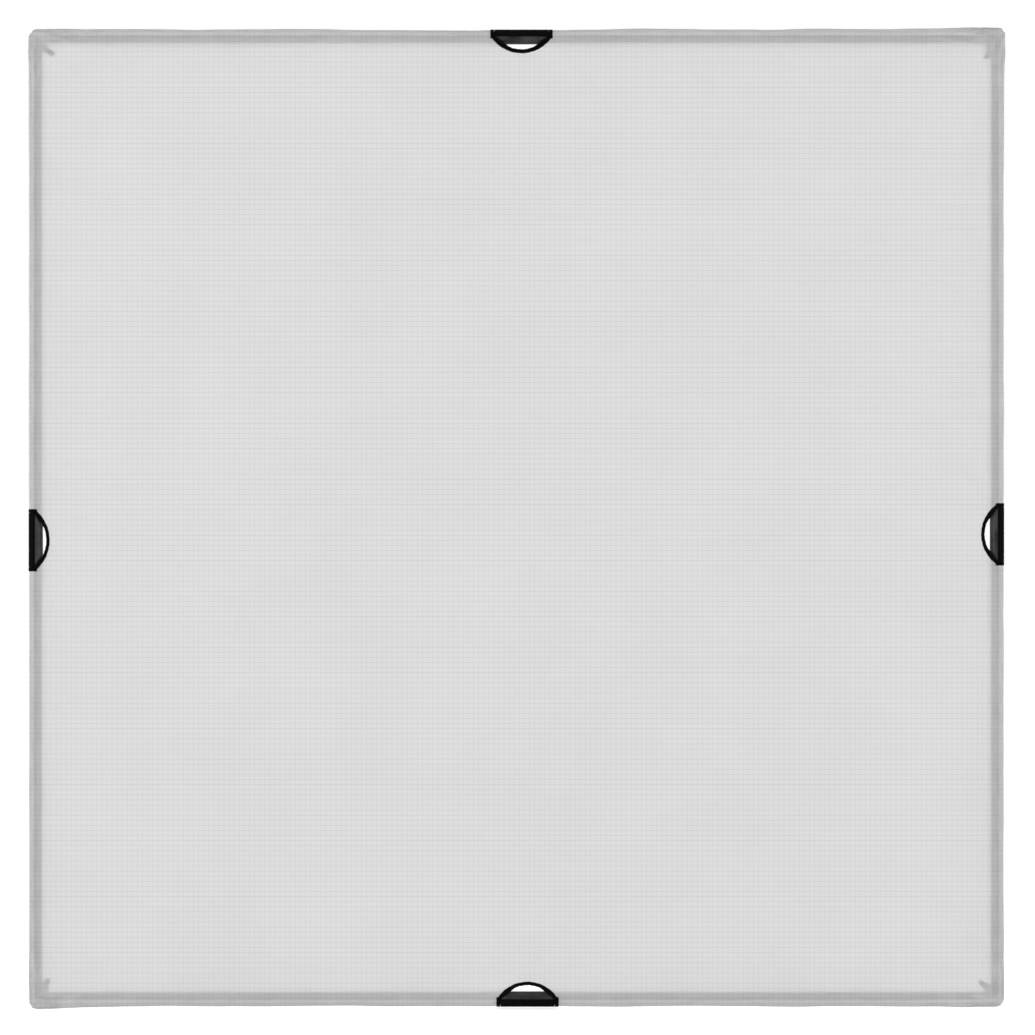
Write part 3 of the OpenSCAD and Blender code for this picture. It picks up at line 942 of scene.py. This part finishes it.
def make_corner(k):
    """Cloth gathered in two small pleats round the ball of an elbow."""
    full, p1, p2 = CORNER_LOOK[k]
    lift_a, lift_b = LIFT[(k, 1)], LIFT[((k + 1) % 4, -1)]
    rings, uvs = [], []
    for i, (s, z, out_s, out_z, a, t) in enumerate(corner_stations()):
        pleat = 0.95 * math.exp(-((a - p1) / 6) ** 2) + 1.2 * math.exp(-((a - p2) / 5) ** 2)
        pleat -= 0.5 * math.exp(-((a - (p1 + p2) / 2) / 7) ** 2)
        round_off = math.sin(math.radians(2 * a)) ** 2
        share = float(smooth(a / 90.0))
        lift = lift_a * (1 - share) + lift_b * share
        path = [(-FACE_MID, 0.0), (-FACE_MID - 0.7 * MM, 1.2 * MM), (-HEM_MID * 0.972, HEM_MID * 0.235)]
        for g in ROUND:
            grow = 0.2 + 0.8 * float(smooth((math.degrees(g) + 65) / 80))
            out = t * (full * round_off * max(0.1, math.cos(g)) + pleat * grow)
            r = HEM_MID + MM * max(-0.7, out + stand_off(lift, g))
            r += 0.45 * MM * t * waves(a * 0.0006 + g * 0.009, 3 + k, 0.013) * max(0.1, math.cos(g))
            path.append(polar(r, g))
        path += [(HEM_MID - 0.1 * MM + 0.4 * MM * pleat * t, 0.05 * MM), (HEM_MID - 0.7 * MM, 0.02 * MM)]
        path = np.array(path)
        soften(path, 1, -2)
        ring = thicken(path, CLOTH_T)
        ring[:, 1] = np.maximum(ring[:, 1], 0.0)
        rings.append([from_side(k, s + u * out_s, y, z + u * out_z) for y, u in ring])
        uvs.append([(i * MM, v) for v in run_along(ring)])
    ob = Shape(rings, uvs).build("corner_fold_" + CORNERS[k], "diffusion_cloth", [CLOTH], 50)
    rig.ride(ob, "frame")


# Width and height of the cloth tucked behind the face in each inner corner, from top right clockwise, how far
# it runs on behind the tubes, and the thickness of each of its layers, in millimetres
TUCKS = ((6.0, 8.5), (8.3, 11.0), (8.8, 13.5), (5.8, 5.0))
TUCK_UNDER, TUCK_T = -3.4, 0.26


def make_tuck(k):
    """Spare cloth of a corner, folded once and tucked flat behind the face where the two tubes meet."""
    sx, sz = ((1, 1), (1, -1), (-1, -1), (-1, 1))[k]
    wide, high = TUCKS[k]
    edge = AXIS - TUBE_R
    ends = np.array([(TUCK_UNDER, TUCK_UNDER), (wide * 0.96, TUCK_UNDER), (wide, high * 0.3),
                     (wide * 0.8, high * 0.72), (-1.2, high), (TUCK_UNDER, high)])
    line = np.concatenate([np.linspace(a, b, 6, False) for a, b in zip(ends, np.roll(ends, -1, axis=0))])
    for _ in range(3):
        line = 0.25 * np.roll(line, 1, axis=0) + 0.5 * line + 0.25 * np.roll(line, -1, axis=0)
    shape = Shape()
    for shrink, gap in ((0.0, 0.08), (0.7, 0.62)):
        layer = (line - shrink * np.sign(np.maximum(line, 0))) * MM
        rings = []
        for y in (gap, gap + TUCK_T):
            rings.append([(sx * (edge - dx), y * MM - FACE_BACK, sz * (edge - dz)) for dx, dz in layer])
        shape.rings(rings, [layer.tolist()] * 2)
    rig.ride(shape.build("corner_tuck_" + CORNERS[k], "diffusion_cloth", [CLOTH]), "frame")


# -------- bindings
# Width of each opening's binding at its deepest point, in millimetres
BIND_LOOK = (5.1, 4.4, 4.5, 4.2)
# How far the two rows of stitches lie from the binding's edge on the hem's side
BIND_SEAMS = (0.9 * MM, 3.7 * MM)


def make_binding(k):
    """Folded black tape round the cut edge of an opening, with its two rows of stitches."""
    mid, reach, radius, centre = OPEN[k]
    a0 = math.acos((centre - 1 * MM) / (radius - BIND_W / 2))
    front, under, over = -BIND_FRONT, -(FACE_BACK + CLOTH_T + 0.01 * MM), -(FACE_BACK - 0.01 * MM)
    # across the folded tape: (distance in millimetres, y, share of the back layer's swell)
    section = [
        (0.0, over, 0.4), (0.03, front + 0.45 * MM, 0), (0.5, front + 0.08 * MM, 0), (1.3, front, 0),
        (2.4, front + 0.1 * MM, 0), (3.5, front, 0), (4.2, front + 0.08 * MM, 0),
        (4.58, front + 0.34 * MM, 0), (4.6, under, 0), (1.25, under, 0), (1.25, over, 0), (4.1, over, 0),
        (4.12, over, 0.8), (3.4, over, 1.0), (2.3, over, 0.85), (1.2, over, 1.0), (0.4, over, 0.85),
    ]

    def spread(a, r):
        """Radius of a point of the tape, which bunches wider where the opening's flanks steepen."""
        wide = (BIND_LOOK[k] + 1.9 * math.exp(-((abs(math.degrees(a)) - 38) / 12) ** 2)) * MM
        wave = 0.1 * MM * math.sin(a * 17 + k) + 0.12 * MM * math.sin(a * 41 + 2 * k)
        return radius - wide * (1 - r / (4.6 * MM)) + wave

    rings, uvs = [], []
    runs = run_along([p[:2] for p in section])
    for a in np.linspace(-a0, a0, 61):
        ring = []
        for w, y, rear in section:
            r = spread(a, w * MM)
            s, u = mid + r * math.sin(a), centre - r * math.cos(a)
            room = float(smooth((-u - 2.6 * MM) / (2.4 * MM)))
            y += rear * (0.03 + 0.45 * room) * MM
            ring.append(from_side(k, s, y, AXIS + min(u, 1.2 * MM)))
        rings.append(ring)
        uvs.append([(a * radius, v) for v in runs])
    shape = Shape(rings, uvs)
    pitch, size = 2.6 * MM / radius, 1.8 * MM / radius
    for off in BIND_SEAMS:
        a = -a0 + 0.03
        while a + size < a0 - 0.03:
            ends = []
            for q in (a, a + size):
                r = spread(q, off)
                ends.append(from_side(k, mid + r * math.sin(q), front, AXIS + centre - r * math.cos(q)))
            shape.stitch(*ends, (0, -1, 0), 0.13 * MM)
            a += pitch
    ob = shape.build("opening_binding_tape_" + SIDES[k], "binding_tape", [BINDING, BLACK_THREAD], 50)
    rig.replaces(ob, "opening_binding_" + SIDES[k])
    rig.ride(ob, "frame")


def make_bar(k, e):
    """The same tape where it wraps over the tube at one end of an opening, round the end of the hem."""
    mid, reach, _, _ = OPEN[k]
    name, body = HEMS[(k, e)], "hem_" + HEMS[(k, e)]
    near = mid + e * reach
    r_out = HEM_R - 0.5 * MM + RISE[k]
    # points of the path round the tube as (y, u, share of the full thickness)
    path = [(-FACE_BACK - 0.64 * MM, -1.4 * MM, 0.8), (-FACE_BACK - 0.68 * MM, -0.4 * MM, 0.85),
            (-FACE_BACK - 0.75 * MM, 0.6 * MM, 0.9), (-FACE_BACK - 1.0 * MM, 1.5 * MM, 0.95)]
    for a in np.radians(np.array([-74, -66, -56, -44, -30, -15, 0, 15, 30, 45, 60, 75, 88])):
        path.append((*polar(r_out, a), 1.0))
    path.append((r_out - 0.25 * MM, -0.5 * MM, 0.7))
    path, full = np.array(path)[:, :2], np.array(path)[:, 2]
    profile = ((0.0, -0.3), (0.25, -0.04), (0.9, 0.0), (2.3, -0.06), (3.7, 0.0), (4.4, -0.04), (4.62, -0.3),
               (4.6, -0.5), (3.4, -0.58), (1.2, -0.58), (0.02, -0.5))

    def place(y, u, across, run):
        return from_side(k, near - e * across + 0.12 * MM * math.sin(run * 900 + k), y, AXIS + u)

    shape = Shape(*sweep(path, profile, MM, full * MM, place))
    _, n = directions(path)
    for w in BIND_SEAMS:
        for i in range(2, len(path) - 2):
            a, b = [from_side(k, near - e * w, y, AXIS + u) for y, u in path[i:i + 2]]
            out = from_side(k, 0, *(n[i] + n[i + 1]))
            shape.stitch(a + (b - a) * 0.1, a + (b - a) * 0.9, out, 0.13 * MM)
    ob = shape.build("binding_end_" + name, "binding_tape", [BINDING, BLACK_THREAD], 50)
    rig.blend(ob, "frame", body, *fold_points(k))


def make_pile(k):
    """Free hooks of the hook tape where an opening leaves them bare, in close rows across the tube."""
    mid, reach, _, _ = OPEN[k]
    half = reach - BIND_W - 0.5 * MM
    tall = HEM_R + 0.05 * MM + RISE[k] - HOOK_R
    root = HOOK_R - 0.05 * MM
    angles = np.radians(np.linspace(-79, 87, 24))
    rings, uvs = [], []
    for i, s in enumerate(steps(-half, half, 0.55 * MM)):
        dip = 0.22 * MM if i % 3 == 0 else 0.0
        outer, inner = [], []
        for j, a in enumerate(angles):
            edge = float(smooth((a - angles[0]) / 0.09) * smooth((angles[-1] - a) / 0.09))
            high = tall * (0.25 + 0.75 * edge) - dip - (j % 2) * 0.09 * MM
            r = HOOK_R + max(0.05 * MM, high + 0.05 * MM * waves(s, 2 + k + j, 0.006))
            outer.append(polar(r, a))
            inner.append(polar(root, a))
        rings.append([from_side(k, mid + s, y, AXIS + u) for y, u in outer + inner[::-1]])
        uvs.append([(s, j * MM) for j in range(2 * len(angles))])
    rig.ride(Shape(rings, uvs).build("hook_pile_" + SIDES[k], "hook_tape", [HOOK], 60), "frame")


# -------- pull tabs
TAB_LENGTH, TAB_W, TAB_T = 30 * MM, 6.5 * MM, 0.5 * MM
# Length sewn down behind the hinge line, and half the gap between the loop's two layers
TAB_SEWN, TAB_GAP = 5.6 * MM, 0.3 * MM


def tab_frame(k):
    """Root, direction and hinge line of a pull tab, and its lowest height, from its joint and its box."""
    name = "pull_tab_" + CORNERS[k]
    joint = [j for j in frame["joints"] if j["name"] == name + "_lift"][0]
    root, turn = Vector(joint["pos_m"]), Vector(joint["axis"])
    ahead = Vector((0, 1, 0)).cross(turn).normalized()
    lo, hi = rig.box(name)
    if ((lo + hi) / 2 - root).dot(ahead) < 0:
        ahead = -ahead
    return root, ahead, turn.normalized(), lo.y


def back_of_corner(p):
    """How far back the outside of the corner's cloth stands at a point of the panel."""
    d = math.hypot(max(0.0, abs(p.x) - AXIS), max(0.0, abs(p.z) - AXIS))
    return math.sqrt(max(0.0, (HEM_R + 0.75 * MM) ** 2 - d * d))


def make_tab(k):
    """A loop of black webbing, box-stitched to the back of a corner, whose end rests on the cloth's back."""
    name, body = CORNERS[k], "pull_tab_" + CORNERS[k]
    root, ahead, turn, lowest = tab_frame(k)
    over = TUBE_R + 1.1 * MM

    def rest_on(d):
        """Height of what the webbing rests on, this far from the root: the corner, the bars or the face."""
        p = root + ahead * d
        if d <= 0:
            return back_of_corner(p) + 0.2 * MM
        height = lowest + 0.85 * MM
        for w in (-0.5, 0.0, 0.5):
            q = p + turn * (w * TAB_W)
            for off in (AXIS - abs(q.x), AXIS - abs(q.z)):
                if abs(off) < over:
                    height = max(height, math.sqrt(over**2 - off**2) + 0.6 * MM)
        return min(root.y, height) if d > 6 * MM else root.y

    def centre(d):
        """Height of the loop's middle: as low as what it rests on and its own stiffness let it hang."""
        if d <= 0:
            return rest_on(d)
        reach = np.linspace(0, TAB_LENGTH, 61)
        return max(rest_on(q) - 2.2 * abs(d - q) for q in reach)

    d = np.concatenate([np.linspace(-TAB_SEWN, 0, 7), np.linspace(0, TAB_LENGTH - 1 * MM, 34)[1:]])
    m = np.stack([d, [centre(q) for q in d]], axis=1)
    for _ in range(3):
        soften(m[:, 1], 8, -1)
    g, n = directions(m)
    belly = smooth((d - 4 * MM) / (12 * MM)) * (1 - smooth((d - 24 * MM) / (5 * MM)))
    gap = (TAB_GAP + 0.5 * MM * belly)[:, None]
    lower, upper = m + n * gap, m - n * gap
    tip = m[-1] + g[-1] * 0.45 * MM
    path = np.concatenate([lower, [tip + n[-1] * 0.2 * MM], [tip - n[-1] * 0.2 * MM], upper[::-1]])
    profile = [(-0.5, 0.0), (-0.49, 0.3), (-0.44, 0.5), (-0.2, 0.46), (0.0, 0.5), (0.2, 0.46), (0.44, 0.5),
               (0.49, 0.3), (0.5, 0.0), (0.49, -0.3), (0.44, -0.5), (0.0, -0.46), (-0.44, -0.5),
               (-0.49, -0.3)]

    def place(along, y, across, _=None):
        p = root + ahead * along + turn * across
        p.y = y
        return p

    shape = Shape(*sweep(path, profile, TAB_W, -TAB_T, place))

    def on_top(along, across):
        return place(along, np.interp(along, d, upper[:, 1]) + TAB_T / 2, across)

    a, b, h = -TAB_SEWN + 0.9 * MM, -0.8 * MM, TAB_W / 2 - 0.9 * MM
    box = [(a, -h), (b, -h), (b, h), (a, h)]
    runs = list(zip(box, box[1:] + box[:1])) + [(box[0], box[2]), (box[1], box[3])]
    for (d0, w0), (d1, w1) in runs:
        count = max(2, int(math.dist((d0, w0), (d1, w1)) / (1.5 * MM)))
        for i in range(count):
            shares = (i + 0.1) / count, (i + 0.9) / count
            ends = [on_top(d0 + (d1 - d0) * q, w0 + (w1 - w0) * q) for q in shares]
            shape.stitch(*ends, (0, 1, 0), 0.12 * MM)
    ob = shape.build("pull_tab_webbing_" + name, "webbing", [WEBBING, BLACK_THREAD], 50)
    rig.replaces(ob, body)
    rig.blend(ob, "frame", body, root - ahead * 0.2 * MM, root + ahead * 2.6 * MM)


# -------- springs
BORE, SHANK_R = 5.15 * MM, 3.5 * MM
LEAF_T, LEAF_W = 0.6 * MM, 4.4 * MM
# Heights of the lower arm's and the upper arm's middle over the axis of the bore, along the button's way
LEAF_LOW = -math.sqrt(BORE**2 - (LEAF_W / 2) ** 2) + LEAF_T / 2 + 0.08 * MM
LEAF_HIGH = math.sqrt(BORE**2 - SHANK_R**2) - 1.0 * MM - LEAF_T / 2 - 0.02 * MM


def make_spring(k, place):
    """Bent steel leaf under a button: its lower arm stays put, its upper arm moves with the button."""
    name = SIDES[k] + "_" + place
    lo, hi = side_box("snap_button_" + name, k)
    s0 = (lo[0] + hi[0]) / 2
    way = -1 if place == "end" else 1
    slant = math.sqrt(0.5)
    line = [(5.9, 0.0), (2.0, 0.0), (-4.0, 0.0), (-9.0, 0.0), (-13.0, 0.02), (-13.9, 0.3), (-14.6, 0.85),
            (-14.85, 1.4), (-14.6, 2.2), (-14.1, 2.65), (-13.4, 2.92)]
    path = [(a * MM, LEAF_LOW + b * MM) for a, b in line]
    bend = path[-1][1]
    for q in np.linspace(0, 1, 9)[1:]:
        share = 0.35 * q + 0.65 * float(smooth(q))
        path.append(((-13.4 + 9.9 * q) * MM, bend + (LEAF_HIGH - bend) * share))
    path += [(a * MM, LEAF_HIGH) for a in (-1.5, 1.5, 3.9)]
    profile = ((-1, -0.7), (-1, 0.7), (-0.94, 1), (0.94, 1), (1, 0.7), (1, -0.7), (0.94, -1), (-0.94, -1))

    def put(along, height, across, _=None):
        """A point at this height over the bore's axis, on the button's slant: inward and backward."""
        y, u = slant * height - slant * across, -slant * height - slant * across
        return from_side(k, s0 + way * along, y, AXIS + u)

    shape = Shape(*sweep(np.array(path), profile, LEAF_W / 2, -LEAF_T / 2, put))
    ob = shape.build("button_spring_" + name, "spring_steel", [SPRING], 30)
    ends = [put(0, h, 0) for h in (LEAF_LOW + 0.5 * MM, LEAF_HIGH - 0.4 * MM)]
    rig.blend(ob, "frame", "snap_button_" + name, *ends)
    return ob


# -------- build
FINISHES = (
    (("tube_", "corner_elbow"), TUBE), ("joint_spigot", ALLOY), (("snap_button", "spigot_rivets"), ZINC),
    ("button_springs", SPRING), ("hook_tapes", HOOK), ("loop_tape", LOOP), ("opening_binding", BINDING),
    ("pull_tab", WEBBING), ("", CLOTH),
)


def paint_nodes():
    """Gives every CAD node its finished material, from the start of its name."""
    for name, ob in frame["nodes"].items():
        for slot in ob.material_slots:
            slot.material = [finish for start, finish in FINISHES if name.startswith(start)][0]


paint_nodes()
make_sheet()
for k in range(4):
    make_corner(k)
    make_tuck(k)
    make_binding(k)
    make_pile(k)
    make_tab(k)
    springs = [make_spring(k, place) for place in ("start", "joint", "end")]
    if k == 0:
        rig.replaces(springs[0], "button_springs")
    for e in (-1, 1):
        make_hem(k, e)
        make_bar(k, e)


# -------- studio
FLOOR_RINGS, FLOOR_SPOKES = (0.5, 1.5, 4.0, 10.0, 40.0), 48


def make_floor(z):
    """A wide disc of rings round a fan. It neither shades nor lights the panel."""
    spokes = range(FLOOR_SPOKES)
    angles = [2 * math.pi * i / FLOOR_SPOKES for i in spokes]
    verts = [(0, 0, z)] + [(r * math.cos(a), r * math.sin(a), z) for r in FLOOR_RINGS for a in angles]
    faces = []
    for i in spokes:
        a, b = 1 + i, 1 + (i + 1) % FLOOR_SPOKES
        faces.append((0, a, b))
        for ring in range(1, len(FLOOR_RINGS)):
            faces.append((a, a + FLOOR_SPOKES, b + FLOOR_SPOKES, b))
            a, b = a + FLOOR_SPOKES, b + FLOOR_SPOKES
    me = bpy.data.meshes.new("studio_floor")
    me.from_pydata(verts, [], faces)
    me.materials.append(floor_material())
    ob = link("studio_floor", me)
    ob.visible_diffuse = ob.visible_transmission = ob.visible_shadow = False
    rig.stage(ob)


# Strength of the studio's light in front of the panel, all round it, on the bright wall behind it, far out to
# the sides, above and below
WORLD_FRONT, WORLD_ROUND, WORLD_WALL = 0.46, 0.15, 6.55
WORLD_SIDES, WORLD_ABOVE, WORLD_BELOW = 0.95, 0.5, 0.6


def make_world():
    """White studio: plain white to the camera, with a bright wall behind the panel, dimmer all round."""
    world = bpy.data.worlds.new("studio")
    bpy.context.scene.world = world
    n = Nodes(world, "ShaderNodeOutputWorld")
    x, ahead, height = n.split(n.coords("Generated"))
    total = n.ramp(ahead, 0.05, 0.5, WORLD_FRONT, WORLD_ROUND)
    for source, lo, hi, strength in (
        (ahead, 0.9, 0.97, WORLD_WALL), (n.size(x), 0.8, 0.9, WORLD_SIDES),
        (height, -0.75, -0.9, WORLD_BELOW), (height, 0.75, 0.9, WORLD_ABOVE),
    ):
        total = n.plus(total, n.ramp(source, lo, hi, 0.0, strength))
    lit = n.new("ShaderNodeBackground", Color=grey(1.0), Strength=total).outputs[0]
    seen = n.new("ShaderNodeBackground", Color=grey(1.0), Strength=1.0).outputs[0]
    n.finish(n.mix_shaders(n.to_camera(), lit, seen))


LIGHT_SIZE = 2.2


def area(name, location, power):
    """A square soft light that faces the middle of the panel."""
    light = bpy.data.lights.new(name, "AREA")
    light.shape, light.size, light.size_y, light.energy = "RECTANGLE", LIGHT_SIZE, LIGHT_SIZE, power
    ob = link(name, light)
    ob.location = location
    ob.rotation_euler = (-Vector(location)).to_track_quat("-Z", "Y").to_euler()


make_floor(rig.bounds()[0].z - 0.2 * MM)
make_world()
area("key", (-3.2, -3.3, 0.6), 65)
area("fill", (3.3, -3.1, 0.2), 50)

# A long lens from straight ahead, with the width of the view at the panel in metres
LENS, SENSOR, VIEW_W = 135.0, 36.0, 1.2936
camera = bpy.data.cameras.new("camera")
camera.lens, camera.sensor_width = LENS, SENSOR
cam = link("camera", camera)
cam.location = (0.0014, -VIEW_W * LENS / SENSOR, 0.0004)
cam.rotation_euler = (math.radians(90), 0, 0)
bpy.context.scene.camera = cam
bpy.context.scene.view_settings.view_transform = "Standard"

new_lo, new_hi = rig.bounds()
with open("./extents.json", "w") as f:
    json.dump({"cad": [list(cad_lo), list(cad_hi)], "visual": [list(new_lo), list(new_hi)]}, f)
